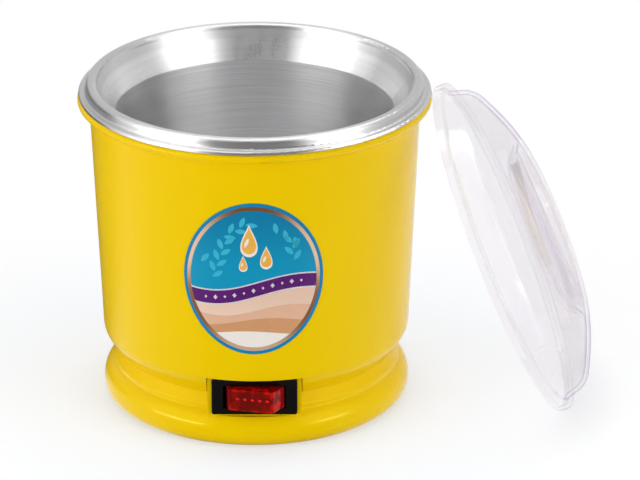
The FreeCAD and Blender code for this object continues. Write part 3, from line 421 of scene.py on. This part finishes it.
def sheet_metal(name, colour, roughness):
    """Rolled or plated metal with a faint grain."""
    material, tree = new_material(name)
    where = place(tree)
    grain = stretched(tree, where, (250.0, 1200.0, 1200.0), detail=3.0)
    surface(tree, principled(tree, {
        "Base Color": varied(tree, where, colour, spread=0.06, scale=90.0),
        "Metallic": 1.0,
        "Roughness": swing(tree, grain, roughness * 0.8, roughness * 1.25),
        "Normal": bump(tree, grain, 0.004 * MM)}))
    return material


def mineral(name, colour, roughness, scale, spread, depth):
    """Mica, fibre, phenolic or ceramic: uneven tone and a coarse skin."""
    material, tree = new_material(name)
    where = place(tree)
    grain = noise(tree, where, scale, detail=6.0, roughness=0.65)
    surface(tree, principled(tree, {
        "Base Color": varied(tree, where, colour, spread, scale * 0.4),
        "Roughness": swing(tree, grain, roughness * 0.85, roughness),
        "Normal": bump(tree, grain, depth)}))
    return material


def rocker_hollow(tree, turned):
    """1 over the rocker's hollow, 0 over its walls, from a place turned with it."""
    parts = split(tree, turned)
    across = calc(tree, "ABSOLUTE", parts[0])
    up = calc(tree, "ABSOLUTE", minus(tree, parts[2], ROCKER_PIVOT[2]))
    in_length = ranged(tree, across, ROCKER_HALF_LENGTH - HOLLOW_FADE[0],
                       ROCKER_HALF_LENGTH - ROCKER_WALL, 1.0, 0.0)
    in_height = ranged(tree, up, ROCKER_HALF_HEIGHT - HOLLOW_FADE[1],
                       ROCKER_HALF_HEIGHT - ROCKER_WALL, 1.0, 0.0)
    return times(tree, in_length, in_height)


def red_plastic():
    """Translucent red rocker: darker red painted over the hollow behind the face as its
    shade, clearer red at its edges.
    """
    material, tree = new_material("red_plastic")
    where = place(tree)
    turned = node(tree, "VectorRotate", {"rotation_type": "Z_AXIS"},
                  {"Vector": where, "Center": ROCKER_PIVOT,
                   "Angle": -ROCKER_TILT}).outputs[0]
    streaks = stretched(tree, where, (300.0, 300.0, 900.0), detail=3.0)
    facets = stretched(tree, turned, (420.0, 420.0, 260.0), detail=2.0, roughness=0.4)
    clear = mixed(tree, ranged(tree, facets, 0.42, 0.62, 0.0, 1.0), rgb(140, 10, 8),
                  rgb(224, 22, 12))
    # painted shade of the hollow, seen through the translucent face
    shaded_red = mixed(tree, streaks, rgb(98, 18, 10), rgb(142, 24, 15))
    hollow_shade = times(tree, rocker_hollow(tree, turned), 0.8)
    surface(tree, principled(tree, {
        "Base Color": mixed(tree, hollow_shade, clear, shaded_red),
        "Roughness": swing(tree, streaks, 0.10, 0.18), "IOR": CLEAR_IOR,
        "Specular IOR Level": 0.12, "Specular Tint": (1.0, 0.40, 0.35, 1.0),
        "Transmission Weight": 0.25}))
    return material


def clear_plastic():
    """Thin clear moulding: most light goes straight through, less where it is seen
    squarely, with a darker lilac outline where the wall is seen edge-on, which is
    painted edge shade."""
    material, tree = new_material("clear_plastic")
    where = place(tree)
    ripple = noise(tree, where, scale=28.0, detail=2.0)
    shine = principled(tree, {
        "Base Color": mixed(tree, ripple, rgb(240, 236, 246), rgb(250, 248, 252)),
        "Roughness": ranged(tree, noise(tree, where, scale=60.0), 0.4, 0.7, 0.08, 0.14),
        "IOR": CLEAR_IOR, "Transmission Weight": 1.0, "Specular IOR Level": 0.8,
        "Normal": bump(tree, ripple, 0.05 * MM, 0.6)})
    facing = node(tree, "LayerWeight", None, {"Blend": 0.5}).outputs["Facing"]
    edge = ranged(tree, facing, *LID_EDGE, 0.0, 1.0)
    edge_shade_share = ranged(tree, facing, *LID_EDGE_SHADE, 0.0, 1.0)
    # painted edge shade: the lilac darkens where the wall is seen edge-on
    tint = mixed(tree, edge_shade_share, rgb(252, 251, 252), rgb(226, 219, 234))
    through = node(tree, "BsdfTransparent", None, {"Color": tint}).outputs[0]
    lamp_ray = node(tree, "LightPath").outputs["Is Shadow Ray"]
    clear = ranged(tree, edge, 0.0, 1.0, LID_CLEARNESS, LID_EDGE_CLEARNESS)
    share = larger(tree, times(tree, lamp_ray, LID_LAMP_SHARE),
                   times(tree, clear, minus(tree, 1.0, lamp_ray)))
    surface(tree, node(tree, "MixShader", None,
                       {0: share, 1: shine, 2: through}).outputs[0])
    return material


def lamp_glass():
    """Small neon bulb behind the rocker, unlit."""
    material, tree = new_material("lamp_glass")
    colour = varied(tree, place(tree), rgb(236, 190, 160), spread=0.05, scale=300.0)
    surface(tree, principled(tree, {
        "Base Color": colour, "Roughness": 0.08, "IOR": 1.47,
        "Transmission Weight": 0.6}))
    return material


def printed(name, colour, second, scale=60.0, metallic=0.0):
    """Ink on glossy film: an even colour with a faint second tone."""
    material, tree = new_material(name)
    where = place(tree)
    tone = noise(tree, where, scale)
    skin = noise(tree, where, scale=900.0, detail=2.0)
    surface(tree, principled(tree, {
        "Base Color": mixed(tree, tone, colour, second), "Metallic": metallic,
        "Roughness": swing(tree, tone, 0.22, 0.30), "IOR": PLASTIC_IOR,
        "Specular IOR Level": 0.25, "Normal": bump(tree, skin, 0.001 * MM)}))
    return material


def ring_foil():
    """Bronze foil ring, its tone swinging round the oval."""
    material, tree = new_material("ring_foil")
    parts = split(tree, place(tree))
    turn = calc(tree, "ARCTAN2", minus(tree, parts[2], LABEL_HEIGHT), parts[0])
    wave = calc(tree, "SINE", times(tree, turn, 3.0))
    tone = mixed(tree, ranged(tree, wave, -1.0, 1.0, 0.0, 1.0),
                 rgb(142, 92, 52), rgb(240, 202, 164))
    surface(tree, principled(tree, {
        "Base Color": tone, "Metallic": 0.45, "Roughness": 0.3}))
    return material


def soft_gradient(name, low_colour, high_colour, low, high):
    """Printed field whose colour changes with height."""
    material, tree = new_material(name)
    share = ranged(tree, split(tree, place(tree))[2], low, high, 0.0, 1.0)
    surface(tree, principled(tree, {
        "Base Color": mixed(tree, share, low_colour, high_colour), "Roughness": 0.26,
        "IOR": PLASTIC_IOR, "Specular IOR Level": 0.25}))
    return material


def slot_materials():
    """One material for each of the record's slots."""
    return {
        "yellow_plastic": yellow_plastic(),
        "spun_aluminium": spun_aluminium(),
        "black_plastic": moulded("black_plastic", rgb(12, 10, 9), 0.24, 0.10,
                                 shine=0.2),
        "red_plastic": red_plastic(),
        "clear_plastic": clear_plastic(),
        "label_film": printed("label_film", rgb(0, 122, 176), rgb(16, 138, 190)),
        "silicone": moulded("silicone", rgb(206, 200, 190), 0.55, 0.05),
        "black_rubber": moulded("black_rubber", rgb(30, 29, 28), 0.6, 0.12, 0.01 * MM),
        "plated_steel": sheet_metal("plated_steel", rgb(196, 194, 188), 0.34),
        "screw_steel": sheet_metal("screw_steel", rgb(172, 172, 168), 0.38),
        "shield_aluminium": sheet_metal("shield_aluminium", rgb(214, 214, 216), 0.36),
        "ribbon_alloy": sheet_metal("ribbon_alloy", rgb(140, 134, 126), 0.42),
        "mica": mineral("mica", rgb(188, 170, 132), 0.5, 220.0, 0.18, 0.01 * MM),
        "ceramic_fibre": mineral("ceramic_fibre", rgb(232, 230, 222), 0.95, 600.0,
                                 0.06, 0.12 * MM),
        "phenolic": mineral("phenolic", rgb(84, 52, 34), 0.5, 300.0, 0.15, 0.01 * MM),
        "white_ceramic": mineral("white_ceramic", rgb(236, 232, 222), 0.35, 260.0,
                                 0.03, 0.006 * MM),
        "brass": sheet_metal("brass", rgb(206, 172, 96), 0.32),
        "lamp_glass": lamp_glass(),
    }


def dress(nodes, record):
    """Give each CAD node its slot's material."""
    finishes = slot_materials()
    for part in record["subparts"]:
        data = nodes[part["node"]].data
        data.materials.clear()
        data.materials.append(finishes[part["material_slot"]])


# ---------------------------------------------------------------- added pieces
def new_object(name, points, faces, material):
    """Mesh object in the scene, with one material."""
    mesh = bpy.data.meshes.new(name)
    mesh.from_pydata(points, [], faces)
    mesh.materials.append(material)
    made = bpy.data.objects.new(name, mesh)
    bpy.context.scene.collection.objects.link(made)
    return made


# ---------------------------------------------------------------- label's print
def wall_radius(height):
    """Radius of the tapered wall at a height."""
    share = (height - WALL_LOW[0]) / (WALL_HIGH[0] - WALL_LOW[0])
    return WALL_LOW[1] + share * (WALL_HIGH[1] - WALL_LOW[1])


def on_wall(across, rise, layer):
    """Point on a printed layer, from a place across the label and above its centre."""
    height = LABEL_HEIGHT + rise
    radius = wall_radius(height) + LABEL_FILM + layer * PRINT_LIFT
    return (across, -math.sqrt(radius ** 2 - across ** 2), height)


def print_layer(name, points, faces, material):
    """Mesh of one printed layer, riding on the heater."""
    made = new_object(name, points, faces, material)
    made.data.polygons.foreach_set("use_smooth", [True] * len(made.data.polygons))
    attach(made, "heater")


def grid_faces(columns, rows):
    """Quads of a grid stored column by column, seen from the front."""
    faces = []
    for column in range(columns - 1):
        for row in range(rows - 1):
            first = column * rows + row
            faces.append((first, first + rows, first + rows + 1, first + 1))
    return faces


def oval_edge(share, across):
    """Half height of the label's oval, shrunk to a share, at a place across."""
    reach = across / (LABEL_HALF_WIDTH * share)
    return LABEL_HALF_HEIGHT * share * math.sqrt(max(0.0, 1 - reach ** 2))


def oval_low(across):
    """Lower limit of a field that reaches the oval's edge."""
    return -LABEL_HALF_HEIGHT


def oval_high(across):
    """Upper limit of a field that reaches the oval's edge."""
    return LABEL_HALF_HEIGHT


def field(name, low, high, layer, material, share=FIELD_SHARE):
    """Part of the oval between two curves, each a function of the place across."""
    columns, rows = FIELD_GRID
    half = LABEL_HALF_WIDTH * share
    points = []
    for column in range(columns):
        across = -half * math.cos(math.pi * column / (columns - 1))
        edge = oval_edge(share, across)
        bottom = max(-edge, min(edge, low(across)))
        top = max(bottom, min(edge, high(across)))
        for row in range(rows):
            rise = bottom + (top - bottom) * row / (rows - 1)
            points.append(on_wall(across, rise, layer))
    print_layer(name, points, grid_faces(columns, rows), material)


def patch(name, edge, layer, material, rings=PATCH_RINGS):
    """Small printed shape, from the points of its edge."""
    middle = Vector((sum(p[0] for p in edge), sum(p[1] for p in edge))) / len(edge)
    points = [on_wall(middle[0], middle[1], layer)]
    for ring in range(1, rings + 1):
        share = ring / rings
        for across, rise in edge:
            points.append(on_wall(middle[0] + (across - middle[0]) * share,
                                  middle[1] + (rise - middle[1]) * share, layer))
    count = len(edge)
    faces = [(0, 1 + index, 1 + (index + 1) % count) for index in range(count)]
    for ring in range(rings - 1):
        start = 1 + ring * count
        for index in range(count):
            after = (index + 1) % count
            faces.append((start + index, start + count + index,
                          start + count + after, start + after))
    print_layer(name, points, faces, material)


def turned_edge(edge, angle, across, rise):
    """Edge points turned by an angle and moved to their place."""
    turn = math.cos(angle), math.sin(angle)
    return [(across + x * turn[0] - z * turn[1], rise + x * turn[1] + z * turn[0])
            for x, z in edge]


def leaf_edge(length, width):
    """Pointed leaf along +X from the origin."""
    upper = []
    for step in range(LEAF_POINTS + 1):
        share = step / LEAF_POINTS
        bulge = math.sin(math.pi * share) ** LEAF_BULGE
        upper.append((length * share, width / 2 * bulge))
    lower = [(x, -z) for x, z in reversed(upper[1:-1])]
    return list(reversed(upper + lower))


def drop_edge(radius):
    """Drop with its point up, round its own middle."""
    edge = []
    for step in range(DROP_POINTS):
        angle = 2 * math.pi * step / DROP_POINTS
        taper = math.sin(angle / 2) ** DROP_TAPER
        edge.append((radius * math.sin(angle) * taper,
                     radius * DROP_TALL * math.cos(angle)))
    return list(reversed(edge))


def ribbon_low(across):
    """Lower edge of the purple ribbon: one long wave across the label."""
    turn = across / LABEL_HALF_WIDTH * RIBBON_TURN
    return -RIBBON_DROP + RIBBON_SWING * math.sin(turn)


def ribbon_high(across):
    """Upper edge of the purple ribbon."""
    return ribbon_low(across) + RIBBON_WIDTH


def trim(name, line, material):
    """Thin stripe along a curve."""
    half = TRIM_WIDTH / 2
    field(name, lambda x: line(x) - half, lambda x: line(x) + half, LAYER["trim"],
          material)


def label_field(inks):
    """Foil ring and the colour fields inside it."""
    field("label_ring", oval_low, oval_high, LAYER["ring"], inks["foil"], GOLD_SHARE)
    field("label_upper", ribbon_high, oval_high, LAYER["field"], inks["turquoise"])
    field("label_lower", oval_low, ribbon_low, LAYER["field"], inks["cream"])
    field("label_ribbon", ribbon_low, ribbon_high, LAYER["ribbon"], inks["purple"])
    trim("label_trim_low", ribbon_low, inks["silver"])
    trim("label_trim_high", ribbon_high, inks["silver"])


def wave_crest(index):
    """Upper edge of one of the waves, as a function of the place across."""
    drop = (WAVE_DROP[0] + WAVE_DROP[1] * index) * MM
    bend = (WAVE_BEND[0] + WAVE_BEND[1] * index) * MM

    def crest(across):
        turn = across / LABEL_HALF_WIDTH * WAVE_TURN + WAVE_SHIFT * index
        return -drop + bend * math.sin(turn)

    return crest


def label_waves(inks):
    """Smooth folds in the lower field, like poured wax."""
    for index, ink in enumerate(WAVE_INKS):
        field("label_wave_%d" % index, oval_low, wave_crest(index),
              LAYER["wave"] + index, inks[ink])


def inside_upper(across, rise):
    """Whether a place lies in the upper field, clear of the ring and the ribbon."""
    reach = LABEL_HALF_WIDTH * FIELD_SHARE - LEAF_ROOM
    if abs(across) >= reach:
        return False
    top = ((LABEL_HALF_HEIGHT * FIELD_SHARE - LEAF_ROOM)
           * math.sqrt(1 - (across / reach) ** 2))
    return ribbon_high(across) + LEAF_ROOM < rise < top


def label_sprigs(inks):
    """Tone-on-tone leaf sprigs behind the drops; a leaf with no room is left out."""
    for stem, (start, base, heading, leaves) in enumerate(STEMS):
        for index in range(leaves):
            along = LEAF_STEP * index
            side = 1 if index % 2 else -1
            angle = math.radians(heading + LEAF_SPREAD * side)
            x = start * MM + along * math.cos(math.radians(heading))
            z = base * MM + along * math.sin(math.radians(heading))
            edge = turned_edge(leaf_edge(*LEAF_SIZE), angle, x, z)
            if all(inside_upper(across, rise) for across, rise in edge):
                patch("label_leaf_%d_%d" % (stem, index), edge, LAYER["leaf"],
                      inks["turquoise_light"])


def label_drops(inks):
    """Three drops of wax falling in a curve over the upper field."""
    for index, (across, rise, radius) in enumerate(DROPS):
        size = radius * MM
        x = across * MM
        z = rise * MM
        rim = turned_edge(drop_edge(size * DROP_RIM), 0.0, x, z)
        patch("label_drop_rim_%d" % index, rim, LAYER["rim"], inks["ivory"])
        drop = turned_edge(drop_edge(size), 0.0, x, z)
        patch("label_drop_%d" % index, drop, LAYER["drop"], inks["amber"])
        glint = leaf_edge(size * GLINT_SIZE[0], size * GLINT_SIZE[1])
        glint = turned_edge(glint, GLINT_HEADING, x - size * GLINT_PLACE[0],
                            z - size * GLINT_PLACE[1])
        patch("label_glint_%d" % index, glint, LAYER["glint"], inks["ivory"])


def label_beads(inks):
    """Row of small lozenges along the ribbon."""
    for index in range(BEAD_COUNT):
        across = (index - (BEAD_COUNT - 1) / 2) * BEAD_PITCH * MM
        rise = (ribbon_low(across) + ribbon_high(across)) / 2
        high = BEAD_HALF[index % 2] * MM
        wide = high * BEAD_SLIM
        edge = [(0, high), (-wide, 0), (0, -high), (wide, 0)]
        patch("label_bead_%d" % index, turned_edge(edge, 0.0, across, rise),
              LAYER["bead"], inks["silver"], rings=1)


def label_inks():
    """Printing inks and foil of the label."""
    low = LABEL_HEIGHT - LABEL_HALF_HEIGHT
    high = LABEL_HEIGHT + LABEL_HALF_HEIGHT
    return {
        "foil": ring_foil(),
        "turquoise": soft_gradient("ink_turquoise", rgb(0, 150, 190),
                                   rgb(0, 122, 166), LABEL_HEIGHT, high),
        "turquoise_light": printed("ink_turquoise_light", rgb(46, 176, 206),
                                   rgb(64, 186, 212)),
        "purple": printed("ink_purple", rgb(84, 22, 104), rgb(98, 30, 118), 90.0),
        "silver": printed("ink_silver", rgb(222, 214, 224), rgb(238, 232, 238),
                          200.0, 0.2),
        "cream": soft_gradient("ink_cream", rgb(246, 220, 196), rgb(232, 196, 172),
                               low, LABEL_HEIGHT),
        "peach": printed("ink_peach", rgb(226, 176, 146), rgb(234, 190, 160), 40.0),
        "honey": printed("ink_honey", rgb(206, 146, 100), rgb(220, 164, 118), 40.0),
        "ivory": printed("ink_ivory", rgb(240, 232, 222), rgb(246, 240, 232), 40.0),
        "amber": printed("ink_amber", rgb(236, 170, 60), rgb(244, 188, 88), 120.0),
    }


def label_print():
    """Everything printed on the label's film, in layers from the ring to the glints."""
    inks = label_inks()
    label_field(inks)
    label_waves(inks)
    label_sprigs(inks)
    label_drops(inks)
    label_beads(inks)


# ---------------------------------------------------------------- rocker's marks
def mark_points(middle):
    """Outline and peak of one mark, on the rocker before it is turned."""
    points = []
    for step in range(MARK_SIDES):
        angle = 2 * math.pi * step / MARK_SIDES
        points.append((middle + MARK_HALF[0] * math.cos(angle),
                       -ROCKER_FACE - MARK_LIFT,
                       MARK_PLACE[1] + MARK_HALF[1] * math.sin(angle)))
    points.append((middle, -ROCKER_FACE - MARK_PEAK, MARK_PLACE[1]))
    return points


def rocker_marks():
    """Row of small moulded prisms on the rocker's face, a brighter red than the rocker:
    painted glints where they catch the light.
    """
    # painted glint: the marks are coloured brighter than the red rocker they are
    # moulded in
    glow = printed("rocker_mark", rgb(214, 10, 6), rgb(250, 34, 20), 900.0)
    turn = math.cos(ROCKER_TILT), math.sin(ROCKER_TILT)
    faces = [(step, (step + 1) % MARK_SIDES, MARK_SIDES) for step in range(MARK_SIDES)]
    faces.append(tuple(reversed(range(MARK_SIDES))))
    for index in range(MARK_COUNT):
        middle = (index - (MARK_COUNT - 1) / 2) * MARK_PITCH + MARK_PLACE[0]
        placed = [(ROCKER_PIVOT[0] + x * turn[0] - y * turn[1],
                   ROCKER_PIVOT[1] + x * turn[1] + y * turn[0],
                   ROCKER_PIVOT[2] + z) for x, y, z in mark_points(middle)]
        mark = new_object("rocker_mark_%d" % index, placed, faces, glow)
        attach(mark, "rocker")


# ---------------------------------------------------------------- studio
def around(tree, vector):
    """Angle of a place or direction round the object, 0 in front and + to the right,
    and its height."""
    parts = split(tree, vector)
    return calc(tree, "ARCTAN2", parts[0], times(tree, parts[1], -1.0)), parts[2]


def angles(tree, turn, span, to_low, to_high):
    """Smooth step over a pair of angles in degrees."""
    low, high = span
    return ranged(tree, turn, math.radians(low), math.radians(high), to_low, to_high)


def ray_kinds(tree):
    """Whether a ray comes straight or through the lid, and whether it is mirrored."""
    path = node(tree, "LightPath").outputs
    direct = calc(tree, "MINIMUM", plus(tree, path["Is Camera Ray"],
                                        path["Is Transmission Ray"]), 1.0)
    mirrored = times(tree, path["Is Glossy Ray"], minus(tree, 1.0, direct))
    return direct, mirrored


def floor_mirrored(tree):
    """What polished surfaces see of the floor: dark in front and at the back left."""
    turn = around(tree, place(tree))[0]
    aside = calc(tree, "ABSOLUTE", turn)
    shade = times(tree, angles(tree, aside, FLOOR_FRONT_TURN, FLOOR_FRONT, 1.0),
                  angles(tree, aside, FLOOR_LEFT_TURN, 1.0, FLOOR_LEFT))
    return larger(tree, shade, angles(tree, turn, FLOOR_RIGHT_TURN, 0.0, FLOOR_RIGHT))


def floor_paper():
    """Pale paper that keeps soft shadows and fades to white away from the object."""
    material, tree = new_material("floor_paper")
    away = node(tree, "VectorMath", {"operation": "LENGTH"},
                {0: place(tree)}).outputs["Value"]
    near = ranged(tree, away, *FLOOR_REACH, 1.0, 0.0)
    direct, mirrored = ray_kinds(tree)
    plain = ranged(tree, near, 0.0, 1.0, FLOOR_GLOW[1], FLOOR_GLOW[0], False)
    contact = node(tree, "AmbientOcclusion", {"samples": CONTACT_SAMPLES},
                   {"Distance": CONTACT_REACH}).outputs["AO"]
    plain = times(tree, plain, ranged(tree, contact, CONTACT_OPEN, 1.0,
                                      CONTACT_SHADE, 1.0, False))
    glow = plus(tree, times(tree, direct, plain),
                times(tree, mirrored, floor_mirrored(tree)))
    white = node(tree, "Emission", None, {"Strength": glow}).outputs[0]
    given_up = times(tree, direct, ranged(tree, near, 0.0, 1.0, FLOOR_WHITE[1],
                                          FLOOR_WHITE[0], False))
    # painted tint: near the object the paper turns bluish to offset the yellow light
    # the housing bounces onto it
    paper = mixed(tree, ranged(tree, away, *PAPER_REACH, 1.0, 0.0),
                  rgb(238, 238, 238), rgb(218, 226, 241))
    paper = mixed(tree, plus(tree, given_up, mirrored), paper, rgb(0, 0, 0))
    lit = node(tree, "BsdfDiffuse", None, {"Color": paper}).outputs[0]
    surface(tree, node(tree, "AddShader", None, {0: lit, 1: white}).outputs[0])
    return material


def floor():
    """Plain pale floor under the object."""
    corners = [(-FLOOR_HALF, -FLOOR_HALF, 0), (FLOOR_HALF, -FLOOR_HALF, 0),
               (FLOOR_HALF, FLOOR_HALF, 0), (-FLOOR_HALF, FLOOR_HALF, 0)]
    made = new_object("floor", corners, [(0, 1, 2, 3)], floor_paper())


def room_mirrored(tree):
    """What polished surfaces see of the room: dark in front and low at the back left,
    white overhead and behind."""
    turn, height = around(tree, node(tree, "TexCoord").outputs["Generated"])
    left = times(tree, angles(tree, turn, ROOM_LEFT_TURN, 1.0, 0.0),
                 ranged(tree, height, *ROOM_LEFT_RISE, 1.0 - ROOM_LEFT, 0.0))
    turn = calc(tree, "ABSOLUTE", turn)
    aside = times(tree, angles(tree, turn, ROOM_FRONT_TURN, ROOM_FRONT, ROOM_SIDE),
                  minus(tree, 1.0, left))
    above = ranged(tree, height, *ROOM_TOP_RISE, 0.0, ROOM_TOP)
    behind = times(tree, angles(tree, turn, ROOM_BACK_TURN, 0.0, 1.0),
                   ranged(tree, height, *ROOM_BACK_RISE, 1.0, 0.0))
    below = ranged(tree, height, *ROOM_LOW_RISE, FLOOR_FRONT, 0.0)
    return larger(tree, larger(tree, larger(tree, aside, below), above), behind)


def world():
    """Even room light, which is white where it is seen directly."""
    made = bpy.data.worlds.new("studio")
    made.use_nodes = True
    tree = made.node_tree
    tree.nodes.clear()
    direct, mirrored = ray_kinds(tree)
    rest = minus(tree, 1.0, larger(tree, direct, mirrored))
    strength = plus(tree, direct, times(tree, mirrored, room_mirrored(tree)))
    strength = plus(tree, strength, times(tree, rest, ROOM_LIGHT))
    background = node(tree, "Background", None,
                      {"Color": rgb(255, 255, 255), "Strength": strength})
    output = node(tree, "OutputWorld")
    tree.links.new(background.outputs[0], output.inputs["Surface"])
    bpy.context.scene.world = made


def softbox(name, turn, rise, distance, size, power):
    """Rectangular soft light aimed at the object from a direction."""
    data = bpy.data.lights.new(name, "AREA")
    data.shape = "RECTANGLE"
    data.size, data.size_y = size
    data.energy = power
    made = bpy.data.objects.new(name, data)
    turn = math.radians(turn)
    rise = math.radians(rise)
    flat = distance * math.cos(rise)
    away = Vector((flat * math.sin(turn), -flat * math.cos(turn),
                   distance * math.sin(rise)))
    made.location = Vector(AIM) + away
    made.rotation_euler = away.to_track_quat("Z", "Y").to_euler()
    bpy.context.scene.collection.objects.link(made)


def camera():
    """Camera at the photograph's place and angle."""
    data = bpy.data.cameras.new("camera")
    data.lens = CAMERA_LENS
    data.sensor_width = SENSOR_WIDTH
    made = bpy.data.objects.new("camera", data)
    made.location = CAMERA_PLACE
    made.rotation_euler = (CAMERA_PITCH, 0.0, 0.0)
    bpy.context.scene.collection.objects.link(made)
    bpy.context.scene.camera = made


def studio():
    """Camera, floor, room light and softboxes."""
    bpy.context.scene.view_settings.view_transform = "Standard"
    camera()
    floor()
    world()
    for name, lamp in LAMPS.items():
        softbox(name, *lamp)


def main():
    """Dress the frame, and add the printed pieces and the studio."""
    dress(frame["nodes"], frame["record"])
    label_print()
    rocker_marks()
    studio()


main()
